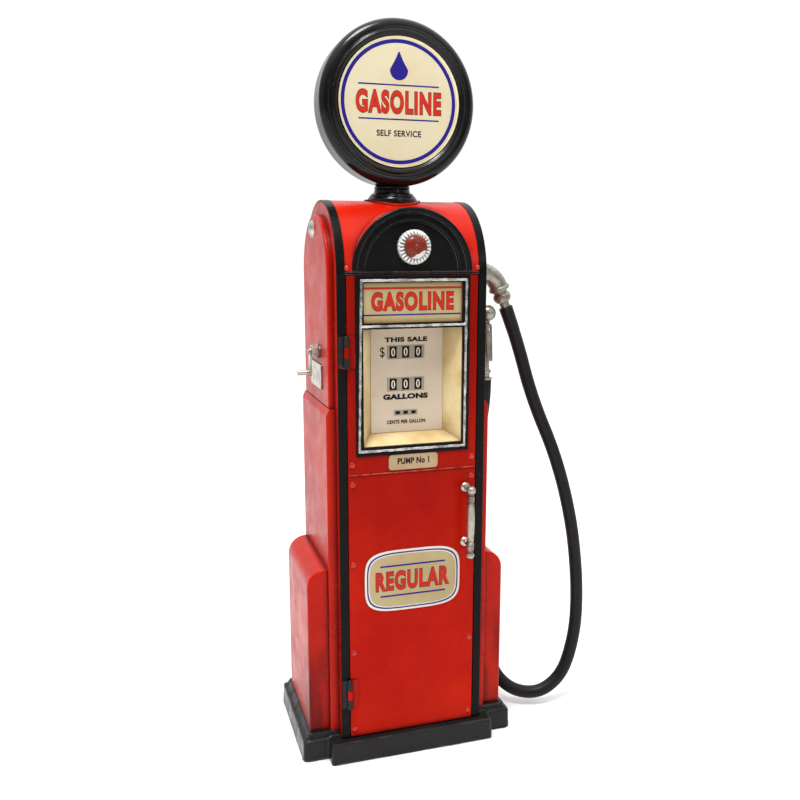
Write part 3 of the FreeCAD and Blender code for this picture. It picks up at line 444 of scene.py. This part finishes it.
def lens_lacquer(centre_z):
    """Red-brown lacquer, with silver paint run over its lower edge."""
    f = Finish("lens_lacquer", 0.3)
    f.bump(f.noise(180, 3), 0.25 * MM)
    color = f.mix(f.noise(160, 4), (0.10, 0.008, 0.003), (0.20, 0.018, 0.006))
    slant = f.math("SUBTRACT", f.axis("Z"), f.both(f.axis("X"), 0.45))
    level = f.math("ADD", slant, f.both(f.noise(230, 3), 3.0 * MM))
    run = f.span(level, centre_z - 3.4 * MM, centre_z - 3.8 * MM)
    color = f.mix(run, color, (0.66, 0.65, 0.62))
    return f.done(color, f.span(f.noise(200, 3), 0.3, 0.7, 0.22, 0.34))


def rubber():
    """Dull black rubber."""
    f = Finish("hose_rubber", 0.15)
    f.bump(f.noise(900, 3), 0.02 * MM)
    f.bump(f.noise(90, 2), 0.15 * MM)
    color = f.mix(f.noise(60, 5), (0.005, 0.005, 0.005), (0.013, 0.012, 0.012))
    return f.done(color, f.span(f.noise(140, 5), 0.3, 0.7, 0.36, 0.52))


def cream_enamel(name, light=CREAM, dark=(0.52, 0.36, 0.15)):
    """Aged cream paint with painted shade towards its corners."""
    f = Finish(name, coat=0.1, round_edges=0.4 * MM)
    f.bump(f.noise(60, 3), 0.25 * MM)
    f.bump(f.noise(500, 3), 0.02 * MM)
    color = f.mix(f.span(f.noise(45, 6), 0.35, 0.75), light, dark)
    # Painted shade towards the corners.
    color = f.mix(f.both(f.recess_shade(16 * MM, 0.3, 0.9), 0.85), color, (0.22, 0.12, 0.035))
    return f.done(color, f.span(f.noise(80, 4), 0.3, 0.7, 0.34, 0.50))


def printed_paper(name, light, dark, wrinkles=0.0, rim=0.0):
    """Stained paper under a thin varnish. Rim is how far its worn edge reaches."""
    f = Finish(name, coat=0.2, round_edges=0.2 * MM)
    f.bump(f.noise(1400, 4), 0.008 * MM)
    if wrinkles:
        f.bump(f.noise(30, 5, (1, 1, 2.2)), wrinkles)
    color = f.mix(f.span(f.noise(28, 6), 0.35, 0.75), light, dark)
    stains = f.span(f.noise(110, 5), 0.66, 0.76)
    color = f.mix(f.both(stains, 0.25), color, (0.32, 0.20, 0.10))
    if rim:
        worn = f.both(f.edges(rim, 0.01, 0.2), f.span(f.noise(320, 4), 0.42, 0.60))
        color = f.mix(f.both(worn, 0.7), color, (0.26, 0.13, 0.06))
    return f.done(color, f.span(f.noise(60, 4), 0.3, 0.7, 0.34, 0.48))


def ink(name, color, pale):
    """Printing ink, rubbed towards a pale colour in spots."""
    f = Finish(name, 0.12)
    f.bump(f.noise(1400, 4), 0.006 * MM)
    rubbed = f.span(f.noise(420, 5, roughness=0.7), 0.66, 0.76)
    shade = f.mix(f.noise(60, 4), color, tuple(c * 1.25 for c in color))
    return f.done(f.mix(f.both(rubbed, 0.5), shade, pale), f.span(f.noise(90, 3), 0.3, 0.7, 0.34, 0.48))


def chipped_black():
    """Black paint that has flaked off red paint."""
    f = Finish("chipped_black", 0.2, round_edges=0.2 * MM)
    f.bump(f.noise(400, 4), 0.1 * MM)
    flakes = f.span(f.noise(190, 5, roughness=0.6), 0.63, 0.67)
    color = f.mix(flakes, (0.010, 0.010, 0.011), (0.42, 0.012, 0.008))
    return f.done(color, f.span(f.noise(150, 4), 0.3, 0.7, 0.30, 0.45))


DOOR_CREASE_Z = 192.1 * MM
RED = red_enamel("red_enamel")
DOOR_RED = red_enamel("door_red", 0.06, shade=0.65, crease_z=DOOR_CREASE_Z)
RIVET_RED = red_enamel("rivet_red", 0.45)
FENDER_RED = red_enamel("fender_red", soot=True)
BLACK = black_enamel("black_enamel")
ARCH_BLACK = black_enamel("arch_black", 0.26, 0.16, 0.02 * MM, 0.14, rim=0.55)
GLOBE_BLACK = black_enamel("globe_black", 0.24, 0.14, 0.02 * MM, 0.26)
NICKEL = aged_metal("aged_nickel", (0.62, 0.59, 0.54), (0.36, 0.33, 0.28))
HANDLE = aged_metal("knurled_nickel", (0.46, 0.42, 0.37), (0.17, 0.14, 0.11), 0.34, knurl=950)
STEEL = aged_metal("zinc_steel", (0.50, 0.49, 0.46), (0.30, 0.28, 0.25), 0.40)
ALLOY = aged_metal("grey_alloy", (0.36, 0.35, 0.30), (0.19, 0.17, 0.13), 0.32, 0.8)
RUBBER = rubber()
SILVER = brushed_silver_paint()
LABEL = printed_paper("label_paper", PAPER, (0.52, 0.43, 0.26), 0.35 * MM, rim=0.8 * MM)
DIAL_PAPER = printed_paper("dial_paper", (0.56, 0.46, 0.35), (0.47, 0.375, 0.275))
PLATE_PAPER = printed_paper("plate_paper", (0.40, 0.275, 0.15), (0.31, 0.19, 0.09), rim=1.6 * MM)
WHITE_PAPER = printed_paper("border_paper", (0.66, 0.62, 0.55), (0.55, 0.46, 0.36))
FIELD_PAPER = printed_paper("field_paper", (0.40, 0.31, 0.145), (0.32, 0.23, 0.09))
INK_RED = ink("ink_red", PRINT_RED, (0.60, 0.30, 0.18))
INK_NAVY = ink("ink_navy", PRINT_NAVY, (0.12, 0.11, 0.26))
INK_BLACK = ink("ink_black", PRINT_BLACK, (0.20, 0.16, 0.12))
INK_SHADE = ink("ink_shade", (0.27, 0.235, 0.19), (0.36, 0.31, 0.25))
INK_GREY = ink("ink_grey", PRINT_GREY, (0.30, 0.24, 0.18))
INK_PALE = ink("ink_pale", (0.66, 0.58, 0.46), (0.50, 0.42, 0.32))

CAD_FINISHES = [
    (RED, "left_side_sheet right_side_sheet left_upper_panel right_upper_panel left_middle_panel "
          "right_middle_panel roof_sheet back_panel arch_hood roof_flange"),
    (DOOR_RED, "door_panel door_hinge_leaves"),
    (RIVET_RED, "door_rivets roof_rivets"),
    (FENDER_RED, "left_fender_panel right_fender_panel"),
    (BLACK, "left_edge_band right_edge_band window_frame"),
    (ARCH_BLACK, "top_rail arch_plate"),
    (GLOBE_BLACK, "neck_collar globe_neck globe_rim_front globe_rim_back"),
    (chipped_black(), "frame_hinge_leaves hinge_pins"),
    (cast_black(), "base_plinth"),
    (STEEL, "neck_bolt handle_nuts crank_bushing lever_pin"),
    (black_enamel("magnet_block", 0.60, 0.45), "door_magnet"),
    (NICKEL, "side_screw crank_plate crank_shaft crank_nut crank_arm crank_pin handle_posts "
             "handle_rosettes"),
    (HANDLE, "handle_grip"),
    (ALLOY, "outlet_flange outlet_elbow hose_coupling nozzle_boot nozzle_body nozzle_spout "
            "nozzle_swivel nozzle_lever"),
    (SILVER, "window_trim"),
    (bezel_paint(), "sight_bezel"),
    (lens_lacquer((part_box("sight_dome")[0].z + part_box("sight_dome")[1].z) / 2), "sight_dome"),
    (cream_enamel("cream_enamel"), "dial_tray"),
    (cream_enamel("sign_cream", (0.40, 0.30, 0.12), (0.30, 0.20, 0.07)), "sign_panel"),
    (cream_enamel("globe_cream", (0.74, 0.64, 0.42), (0.60, 0.48, 0.26)), "globe_faces"),
    (DIAL_PAPER, "dial_face"),
    (PLATE_PAPER, "name_plate"),
    (WHITE_PAPER, "door_badge"),
    (RUBBER, "hose"),
]
for finish, names in CAD_FINISHES:
    for name in names.split():
        give(cad[name], finish)
give(hose, RUBBER)
give(hose_sleeve, RUBBER)


# ---- hand-made unevenness on painted trim and the cast plinth ----
def uneven(name, voxel, wave, depth, level=0.5):
    """Gives a CAD node's surface a slight hand-made wobble, as modifiers only."""
    texture = bpy.data.textures.new(name + "_wobble", "CLOUDS")
    texture.noise_scale = wave
    texture.noise_depth = 2
    remesh = cad[name].modifiers.new("fine_mesh", "REMESH")
    remesh.mode = "VOXEL"
    remesh.voxel_size = voxel
    remesh.use_smooth_shade = True
    wobble = cad[name].modifiers.new("wobble", "DISPLACE")
    wobble.texture = texture
    wobble.texture_coords = "LOCAL"
    wobble.strength = depth
    wobble.mid_level = level
    relax = cad[name].modifiers.new("relax", "SMOOTH")
    relax.factor = 0.5
    relax.iterations = 2


uneven("window_trim", 0.22 * MM, 6.0 * MM, 0.7 * MM)
uneven("base_plinth", 0.7 * MM, 14.0 * MM, 0.7 * MM, 0.95)


# ---- printed graphics ----
FILM = 0.03 * MM      # thickness of a layer of print


def polygon(points):
    return [list(points)]


def bar(x0, x1, z0, z1):
    return polygon([(x0, z0), (x1, z0), (x1, z1), (x0, z1)])


def loop_between(outer, inner):
    """A closed band between two outlines with the same number of points."""
    count = len(outer)
    return [[outer[k], outer[(k + 1) % count], inner[(k + 1) % count], inner[k]] for k in range(count)]


def circle(x, z, radius, steps=128):
    turn = 2 * math.pi / steps
    return [(x + radius * math.cos(turn * k), z + radius * math.sin(turn * k)) for k in range(steps)]


def bulged(x, z, half_x, half_z, steps=128):
    """The door badge's outline: bulging sides and round corners."""
    power = 2 / 4.2
    points = []
    for k in range(steps):
        a = 2 * math.pi * k / steps
        c, s = math.cos(a), math.sin(a)
        points.append((x + half_x * math.copysign(abs(c) ** power, c),
                       z + half_z * math.copysign(abs(s) ** power, s)))
    return points


def frame_lines(x0, x1, z0, z1, width):
    return (bar(x0, x1, z0, z0 + width) + bar(x0, x1, z1 - width, z1)
            + bar(x0, x0 + width, z0 + width, z1 - width) + bar(x1 - width, x1, z0 + width, z1 - width))


def droplet(x, z, radius, height, steps=72):
    """A fuel drop: a round belly drawn up to a point."""
    points = []
    for k in range(steps):
        a = 2 * math.pi * k / steps
        lift = max(math.cos(a), 0.0) ** 3
        narrow = 1 - 0.62 * max(math.cos(a), 0.0) ** 1.5
        points.append((x + radius * math.sin(a) * narrow,
                       z + radius * math.cos(a) + (height - radius) * lift))
    return polygon(points)


def word(text, x0, x1, z0, z1, weight=0.0, spacing=1.08):
    """A word's filled outlines, fitted to a box. Weight thickens its strokes."""
    data = bpy.data.curves.new("word", "FONT")
    data.body = text
    data.offset = weight
    data.space_character = spacing
    data.resolution_u = 6
    holder = bpy.data.objects.new("word", data)
    bpy.context.scene.collection.objects.link(holder)
    bpy.context.view_layer.update()
    mesh = bpy.data.meshes.new_from_object(holder.evaluated_get(bpy.context.evaluated_depsgraph_get()))
    low_x, high_x = min(v.co.x for v in mesh.vertices), max(v.co.x for v in mesh.vertices)
    low_y, high_y = min(v.co.y for v in mesh.vertices), max(v.co.y for v in mesh.vertices)
    places = [(x0 + (v.co.x - low_x) / (high_x - low_x) * (x1 - x0),
               z0 + (v.co.y - low_y) / (high_y - low_y) * (z1 - z0)) for v in mesh.vertices]
    shapes = [[places[k] for k in p.vertices] for p in mesh.polygons]
    bpy.data.objects.remove(holder)
    bpy.data.meshes.remove(mesh)
    return shapes


def print_on(name, shapes, surface_y, layer, material, body, facing=-1):
    """Raises flat shapes, given as (x, z) outlines, into a thin film on a surface facing along Y."""
    bm = bmesh.new()
    base = surface_y + facing * (FILM * layer - 0.01 * MM)
    for shape in shapes:
        corners = [bm.verts.new((x * -facing, base, z)) for x, z in shape]
        bm.faces.new(corners)
    bmesh.ops.remove_doubles(bm, verts=bm.verts, dist=0.004 * MM)
    raised = bmesh.ops.extrude_face_region(bm, geom=list(bm.faces))
    moved = [g for g in raised["geom"] if isinstance(g, bmesh.types.BMVert)]
    bmesh.ops.translate(bm, verts=moved, vec=(0, facing * (FILM + 0.01 * MM), 0))
    bmesh.ops.recalc_face_normals(bm, faces=bm.faces)
    mesh = bpy.data.meshes.new(name)
    bm.to_mesh(mesh)
    bm.free()
    piece = link_mesh(name, mesh, body)
    give(piece, material)
    return piece


def headline(name, text, x0, x1, z0, z1, face_y, layer, body, facing=-1):
    """A bold red word with a fine dark outline round it."""
    edge_x, edge_z = 0.22 * MM, 0.38 * MM
    behind = word(text, x0 - edge_x, x1 + edge_x, z0 - edge_z, z1 + edge_z, 0.062, 1.16)
    front = word(text, x0, x1, z0, z1, 0.040, 1.16)
    print_on(name + "_edge", behind, face_y, layer, INK_BLACK, body, facing)
    print_on(name + "_letters", front, face_y, layer + 1, INK_RED, body, facing)


def middle(node):
    """The middle of a CAD node's box."""
    low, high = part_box(node)
    return (low + high) / 2


def globe_label(name, face_y, facing):
    """A paper disc with a ring, a drop, a word between two rules, and small words below."""
    centre = middle("globe_faces")
    x, z = -0.6 * MM, centre.z
    print_on(name + "_sheet", polygon(circle(x, z, 38.0 * MM)), face_y, 0, LABEL, "cabinet", facing)
    ring = loop_between(circle(x, z, 37.0 * MM), circle(x, z, 34.7 * MM))
    rules = bar(x - 26 * MM, x + 26 * MM, z - 10.6 * MM, z - 9.7 * MM)
    rules += bar(x - 26 * MM, x + 26 * MM, z + 9.7 * MM, z + 10.6 * MM)
    drop = droplet(x, z + 18.8 * MM, 5.8 * MM, 11.0 * MM)
    print_on(name + "_navy", ring + rules + drop, face_y, 1, INK_NAVY, "cabinet", facing)
    headline(name, "GASOLINE", x - 27.5 * MM, x + 27.5 * MM, z - 6.8 * MM, z + 6.8 * MM, face_y, 1,
             "cabinet", facing)
    small = word("SELF SERVICE", x - 14.5 * MM, x + 14.5 * MM, z - 20.4 * MM, z - 16.6 * MM, 0.03)
    print_on(name + "_black", small, face_y, 1, INK_BLACK, "cabinet", facing)


def globe_graphics():
    """Prints the globe's two faces, front and back."""
    low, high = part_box("globe_faces")
    globe_label("globe_front", low.y, -1)
    globe_label("globe_back", high.y, 1)


def sign_graphics():
    """The sheet behind the top window: a word between a red and a navy rule."""
    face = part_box("sign_panel")[0].y
    left, right = -31.4 * MM, 31.4 * MM
    bottom, top = 286.6 * MM, 310.2 * MM
    sheet = bar(left, right, bottom + 1.6 * MM, top - 0.6 * MM)
    red_rule = bar(left, right, top - 3.6 * MM, top - 2.3 * MM)
    navy_rule = bar(left, right, bottom + 4.0 * MM, bottom + 4.9 * MM)
    print_on("sign_sheet", sheet, face, 0, FIELD_PAPER, "door")
    print_on("sign_red_rule", red_rule, face, 1, INK_RED, "door")
    print_on("sign_navy_rule", navy_rule, face, 1, INK_NAVY, "door")
    headline("sign", "GASOLINE", left + 4.9 * MM, right - 4.9 * MM, bottom + 7.0 * MM, top - 5.5 * MM,
             face, 1, "door")


DIGITS = 3
# Left, right, bottom and top of each counter, and whether zeros fit in its windows.
COUNTERS = [
    (-13.4, 11.4, 262.2, 271.0, True),
    (-13.4, 11.4, 241.7, 250.5, True),
    (-8.9, 6.9, 226.0, 229.4, False),
]


def zero(x, z, half_x, half_z):
    """A pale zero: an oval ring, thicker at its sides than at its top and bottom."""
    turn = math.pi / 12
    outer = [(x + math.cos(turn * k) * half_x, z + math.sin(turn * k) * half_z) for k in range(24)]
    inner = [(x + (px - x) * 0.45, z + (pz - z) * 0.74) for px, pz in outer]
    return loop_between(outer, inner)


def counter(left, right, bottom, top):
    """A counter's frame, its grey field, its black windows and the zeros for them."""
    lines = frame_lines(left, right, bottom, top, 0.18 * MM)
    field = bar(left + 0.2 * MM, right - 0.2 * MM, bottom + 0.2 * MM, top - 0.2 * MM)
    windows = []
    zeros = []
    pitch = (right - left) / DIGITS
    half = pitch * 0.29
    for k in range(DIGITS):
        x = left + pitch * (k + 0.5)
        windows += bar(x - half, x + half, bottom + 0.7 * MM, top - 0.7 * MM)
        zeros += zero(x, (bottom + top) / 2, half * 0.52, (top - bottom) * 0.30)
    return lines, field, windows, zeros


def dial_graphics():
    """The dial's three counters and its words."""
    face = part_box("dial_face")[0].y
    frames = []
    fields = []
    windows = []
    zeros = []
    for left, right, bottom, top, with_zeros in COUNTERS:
        lines, field, panes, digits = counter(left * MM, right * MM, bottom * MM, top * MM)
        frames += lines
        fields += field
        windows += panes
        if with_zeros:
            zeros += digits
    words = word("THIS SALE", -14.9 * MM, 13.5 * MM, 273.0 * MM, 276.1 * MM, 0.06)
    words += word("$", -18.0 * MM, -14.8 * MM, 262.9 * MM, 270.2 * MM, 0.004)
    words += word("GALLONS", -16.0 * MM, 14.0 * MM, 236.3 * MM, 239.9 * MM, 0.07)
    words += word("CENTS PER GALLON", -13.6 * MM, 12.3 * MM, 220.5 * MM, 223.0 * MM, 0.05)
    print_on("dial_words", words, face, 0, INK_BLACK, "door")
    print_on("dial_fields", fields, face, 0, INK_SHADE, "door")
    print_on("dial_windows", windows, face, 1, INK_BLACK, "door")
    print_on("dial_lines", frames, face, 1, INK_GREY, "door")
    print_on("dial_zeros", zeros, face, 2, INK_PALE, "door")


def plate_graphics():
    """The name plate's pump number."""
    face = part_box("name_plate")[0].y
    centre = middle("name_plate")
    letters = word("PUMP No 1", centre.x - 10.5 * MM, centre.x + 10.5 * MM,
                   centre.z - 1.4 * MM, centre.z + 2.7 * MM, 0.04)
    print_on("plate_letters", letters, face, 1, INK_BLACK, "door")


def badge_graphics():
    """The oval badge: a keyline, a field, and a word between two rules."""
    low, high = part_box("door_badge")
    centre = (low + high) / 2
    half_x = (high.x - low.x) / 2
    half_z = (high.z - low.z) / 2

    def inset(depth):
        return bulged(centre.x, centre.z, half_x - depth * MM, half_z - depth * MM)

    print_on("badge_keyline", loop_between(inset(1.4), inset(2.3)), low.y, 1, INK_NAVY, "door")
    print_on("badge_field", polygon(inset(3.0)), low.y, 1, FIELD_PAPER, "door")
    headline("badge", "REGULAR", centre.x - 25 * MM, centre.x + 25 * MM, centre.z - 6.4 * MM,
             centre.z + 6.4 * MM, low.y, 2, "door")
    rules = bar(centre.x - 22 * MM, centre.x + 22 * MM, centre.z - 10.6 * MM, centre.z - 9.5 * MM)
    rules += bar(centre.x - 22 * MM, centre.x + 22 * MM, centre.z + 9.5 * MM, centre.z + 10.6 * MM)
    print_on("badge_rules", rules, low.y, 2, INK_NAVY, "door")


globe_graphics()
sign_graphics()
dial_graphics()
plate_graphics()
badge_graphics()


# ---- floor and light ----
def make_floor():
    """A plain pale floor, just under the plinth."""
    mesh = bpy.data.meshes.new("floor")
    size = 12.0
    corners = [(-size, -size, 0), (size, -size, 0), (size, size, 0), (-size, size, 0)]
    mesh.from_pydata(corners, [], [(0, 1, 2, 3)])
    floor = bpy.data.objects.new("floor", mesh)
    floor.location.z = cad_low.z - 0.0002
    bpy.context.scene.collection.objects.link(floor)
    f = Finish("pale_floor")
    give(floor, f.done(f.mix(f.noise(3, 2), (0.86, 0.86, 0.855), (0.89, 0.888, 0.88)), 0.6))


def area_light(name, place, target, size_x, size_y, power):
    """A soft rectangular light, sized in metres and powered in watts, that faces its target."""
    data = bpy.data.lights.new(name, "AREA")
    data.shape = "RECTANGLE"
    data.size = size_x
    data.size_y = size_y
    data.energy = power
    light = bpy.data.objects.new(name, data)
    light.location = place
    light.rotation_euler = (Vector(target) - Vector(place)).to_track_quat("-Z", "Y").to_euler()
    bpy.context.scene.collection.objects.link(light)


def ramp(tree, value, low, high, to_low, to_high):
    """A smooth step in the surround's strength along one direction."""
    node = tree.nodes.new("ShaderNodeMapRange")
    node.interpolation_type = "SMOOTHSTEP"
    node.inputs["From Min"].default_value = low
    node.inputs["From Max"].default_value = high
    node.inputs["To Min"].default_value = to_low
    node.inputs["To Max"].default_value = to_high
    tree.links.new(value, node.inputs["Value"])
    return node.outputs["Result"]


def make_world():
    """A white surround that falls to grey in front of the door and a little on its left."""
    world = bpy.data.worlds.new("studio")
    world.use_nodes = True
    tree = world.node_tree
    background = tree.nodes["Background"]
    place = tree.nodes.new("ShaderNodeTexCoord")
    split = tree.nodes.new("ShaderNodeSeparateXYZ")
    tree.links.new(place.outputs["Generated"], split.inputs[0])
    fall = ramp(tree, split.outputs["Y"], -0.85, 0.1, 0.06, 1.02)
    rise = ramp(tree, split.outputs["Z"], 0.3, 0.9, 0.0, 1.0)
    side = ramp(tree, split.outputs["X"], -0.95, -0.35, 0.40, 1.0)
    shaded = tree.nodes.new("ShaderNodeMath")
    shaded.operation = "MULTIPLY"
    total = tree.nodes.new("ShaderNodeMath")
    tree.links.new(side, shaded.inputs[0])
    tree.links.new(fall, shaded.inputs[1])
    tree.links.new(shaded.outputs[0], total.inputs[0])
    tree.links.new(rise, total.inputs[1])
    tree.links.new(total.outputs[0], background.inputs["Strength"])
    background.inputs["Color"].default_value = (1.0, 1.0, 1.0, 1.0)
    bpy.context.scene.world = world


make_floor()
make_world()
area_light("top_light", (-0.2, -0.4, 1.25), (0, 0, 0.3), 0.3, 0.3, 12.0)
area_light("left_light", (-1.1, -0.35, 0.55), (0, 0, 0.25), 0.3, 0.9, 0.3)
area_light("front_light", (0.55, -1.3, 0.9), (0, 0, 0.2), 0.35, 0.35, 2.0)
bpy.context.scene.view_settings.view_transform = "Standard"
